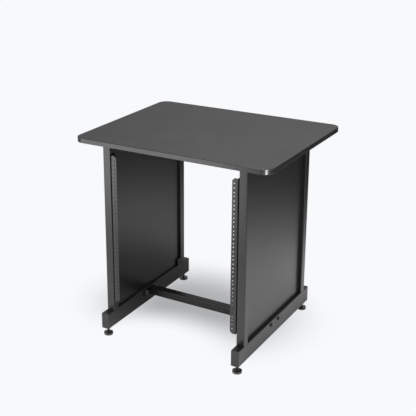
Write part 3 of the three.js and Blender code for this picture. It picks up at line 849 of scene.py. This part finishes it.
bpy.data.objects.remove(pattern_nut)


# Levelling feet: a moulded pad on an M8 stem that screws into an insert in the base tube.
# A lock nut under the insert's flange holds the height.
# The pad is glossy black plastic, and the steel parts are black zinc plated.
STEM = 0.008
STEM_PITCH = 0.00125
STEM_TIP = 0.0005
STEM_PLAIN = 0.006
STEM_STEPS = 32
LOCK_NUT = {"across": 0.013, "height": 0.0055, "thread_size": 0.008}
INSERT_FLANGE = 0.0015
INSERT_FLANGE_EDGE = 0.0004
INSERT_BODY = 0.0055
INSERT_BODY_EDGE = 0.0005
INSERT_GAP = 0.0002
PAD_RIM = 0.0085
PAD_CROWN = 0.0075
PAD_SOCKET_DEPTH = 0.007
PAD_SOCKET_GAP = 0.0003
PAD_HOLLOW = 0.0006
PAD_HOLLOW_SHARES = (0.72, 0.74)
PAD_NECK = ((0.0012, 0.0006), (0.0002, 0.0012))
PAD_TOP = ((0.0004, 0.0005), (0.0010, 0))
PAD_EASE = 0.001
PAD_EASE_STEPS = 4
PAD_RIM_TURN = math.radians(75)
PAD_STEPS = 56
PAD_ROUGHNESS = 0.24
PAD_COAT_ROUGHNESS = 0.15
PAD_DARK = (0.028, 0.028, 0.029, 1)
PAD_LIGHT = (0.040, 0.040, 0.041, 1)
FOOT_STEEL_DARK = (0.10, 0.10, 0.105, 1)
FOOT_STEEL_LIGHT = (0.14, 0.14, 0.145, 1)
FOOT_STEEL_METALLIC = 0.8


def add_pad():
    """A pad with a shallow hollow under it, rounded rims and a neck with the stem's socket."""
    low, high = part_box("front_foot_pad_right")
    radius = (high[0] - low[0]) / 2
    height = high[2]
    socket = STEM / 2 + PAD_SOCKET_GAP
    inner, outer = (radius * share for share in PAD_HOLLOW_SHARES)
    profile = [(0, PAD_HOLLOW), (inner, PAD_HOLLOW), (outer, 0), (radius - PAD_EASE, 0)]
    for step in range(1, PAD_EASE_STEPS + 1):
        angle = step / PAD_EASE_STEPS * math.pi / 2
        profile.append((radius - PAD_EASE * (1 - math.sin(angle)), PAD_EASE * (1 - math.cos(angle))))
    for step in range(PAD_EASE_STEPS + 1):
        angle = step / PAD_EASE_STEPS * PAD_RIM_TURN
        up = PAD_RIM - PAD_EASE + PAD_EASE * math.sin(angle)
        profile.append((radius - PAD_EASE * (1 - math.cos(angle)), up))
    profile += [(PAD_CROWN + out, PAD_RIM + up) for out, up in PAD_NECK]
    profile += [(PAD_CROWN - back, height - down) for back, down in PAD_TOP]
    profile += [(socket, height), (socket, height - PAD_SOCKET_DEPTH), (0, height - PAD_SOCKET_DEPTH)]
    return turn_on_lathe("pad pattern", profile, PAD_STEPS)


def add_stem():
    low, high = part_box("front_foot_stem_right")
    profile = [(0, low[2]), (STEM / 2 - STEM_TIP, low[2]), (STEM / 2, low[2] + STEM_TIP)]
    profile += [*thread(STEM, low[2] + STEM_PLAIN, high[2], STEM_PITCH), (0, high[2])]
    return turn_on_lathe("stem pattern", profile, STEM_STEPS)


def add_insert():
    low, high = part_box("front_foot_insert_right")
    radius = (high[0] - low[0]) / 2
    bore = STEM / 2 + INSERT_GAP
    flange = low[2] + INSERT_FLANGE
    profile = [
        (bore, low[2]), (radius - INSERT_FLANGE_EDGE, low[2]), (radius, low[2] + INSERT_FLANGE_EDGE),
        (radius, flange), (INSERT_BODY, flange), (INSERT_BODY, high[2] - INSERT_BODY_EDGE),
        (INSERT_BODY - INSERT_BODY_EDGE, high[2]), (bore, high[2]), (bore, low[2]),
    ]
    return turn_on_lathe("insert pattern", profile)


pad_plastic = new_moulded_plastic("glossy black plastic", PAD_DARK, PAD_LIGHT, PAD_ROUGHNESS)
pad_shader = pad_plastic.node_tree.nodes["Principled BSDF"]
pad_shader.inputs["Coat Weight"].default_value = 1.0
pad_shader.inputs["Coat Roughness"].default_value = PAD_COAT_ROUGHNESS
foot_steel = new_black_steel("black zinc plating", FOOT_STEEL_DARK, FOOT_STEEL_LIGHT, FOOT_STEEL_METALLIC)
pattern_pad = add_pad()
pattern_stem = add_stem()
pattern_insert = add_insert()
pattern_nut = add_hex_nut("lock nut pattern", **LOCK_NUT)
for side in SIDES:
    for end in ("front", "rear"):
        low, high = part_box(f"{end}_foot_pad_{side}")
        place = Matrix.Translation(((low[0] + high[0]) / 2, (low[1] + high[1]) / 2, 0))
        foot = f"foot_{end}_{side}"
        pad = copy_of(pattern_pad, f"{side}_{end}_pad", place)
        hand_over(pad, pad_plastic, "black_plastic", foot, f"{end}_foot_pad_{side}")
        stem = copy_of(pattern_stem, f"{side}_{end}_stem", place)
        hand_over(stem, foot_steel, "black_fastener", foot, f"{end}_foot_stem_{side}")
        insert = copy_of(pattern_insert, f"{side}_{end}_insert", place)
        hand_over(insert, foot_steel, "black_fastener", "frame", f"{end}_foot_insert_{side}")
        nut_bottom = Matrix.Translation((0, 0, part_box(f"{end}_lock_nut_{side}")[0][2]))
        nut = copy_of(pattern_nut, f"{side}_{end}_lock_nut", place @ nut_bottom)
        hand_over(nut, foot_steel, "black_fastener", "frame", f"{end}_lock_nut_{side}")
for pattern in (pattern_pad, pattern_stem, pattern_insert, pattern_nut):
    bpy.data.objects.remove(pattern)


# Desktop screws: four from under the top tubes up into the board.
# They have flat round heads with cross recesses.
DESK_SCREW = 0.004
SCREW_HEAD = 0.008
SCREW_HEAD_HEIGHT = 0.0026
SCREW_DOME = ((0, 1), (0.55, 1), (0.85, 0.75), (1, 0.35))
SCREW_PLAIN = 0.55
SCREW_PITCH = 0.0018
SCREW_STEPS = 32
CROSS_SLOT = (0.0042, 0.0008)
CROSS_SLOT_DEPTH = 0.0015
SLOT_SPARE = 0.001


def add_desk_screw():
    low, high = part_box("front_desk_screw_right")
    radius = SCREW_HEAD / 2
    length = high[2] - low[2] - SCREW_HEAD_HEIGHT
    profile = [(radius * out, -SCREW_HEAD_HEIGHT * down) for out, down in SCREW_DOME]
    profile += [(radius, 0), (DESK_SCREW / 2, 0)]
    profile += thread(DESK_SCREW, length * SCREW_PLAIN, length - DESK_SCREW, SCREW_PITCH)
    profile += [(0, length)]
    screw = turn_on_lathe("desk screw pattern", profile, SCREW_STEPS)
    for long, wide in (CROSS_SLOT, CROSS_SLOT[::-1]):
        slot_low = (-long / 2, -wide / 2, -SCREW_HEAD_HEIGHT - SLOT_SPARE)
        slot_high = (long / 2, wide / 2, -SCREW_HEAD_HEIGHT + CROSS_SLOT_DEPTH)
        cut(screw, add_block("slot", slot_low, slot_high))
    return screw


pattern_screw = add_desk_screw()
for side in SIDES:
    for end in ("front", "rear"):
        low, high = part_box(f"{end}_desk_screw_{side}")
        head_face = low[2] + SCREW_HEAD_HEIGHT
        place = Matrix.Translation(((low[0] + high[0]) / 2, (low[1] + high[1]) / 2, head_face))
        screw = copy_of(pattern_screw, f"{side}_{end}_desk_screw", place)
        hand_over(screw, black_oxide, "black_fastener", "frame", f"{end}_desk_screw_{side}")
bpy.data.objects.remove(pattern_screw)


# Soft lights, each as a large panel: one hangs overhead, and one beside it lights the floor alone.
# One stands low at the front left, and a strip at the front right lights the edge band alone.
def add_light(name, place, aim, size, power, spared=(), only=()):
    bpy.ops.object.light_add(type="AREA", location=place)
    light = bpy.context.object
    light.name = name
    light.visible_camera = False
    light.data.shape = "RECTANGLE"
    light.data.size, light.data.size_y = size
    light.data.energy = power
    light.rotation_euler = (Vector(aim) - Vector(place)).to_track_quat("-Z", "Y").to_euler()
    if spared or only:
        group = bpy.data.collections.new(name + " pieces")
        for piece in spared or only:
            group.objects.link(piece)
        for entry in group.collection_objects:
            entry.light_linking.link_state = "EXCLUDE" if spared else "INCLUDE"
        light.light_linking.receiver_collection = group


add_light("overhead panel", (0.2, 0, 2.5), (0.2, 0, 0), (1.5, 1.5), 62, spared=(floor,))
add_light("floor panel", (0.15, -0.36, 2.6), (0, 0, 0), (0.9, 0.9), 68, only=(floor,))
add_light("low front panel", (-0.96, -1.35, 0.28), (-0.96, 0, 0.28), (1.38, 0.5), 7.5,
          spared=(floor, board))
add_light("corner strip", (1.43, -1.32, 0.22), (0.35, -0.28, 0.6), (0.4, 1.0), 40, only=(band,))
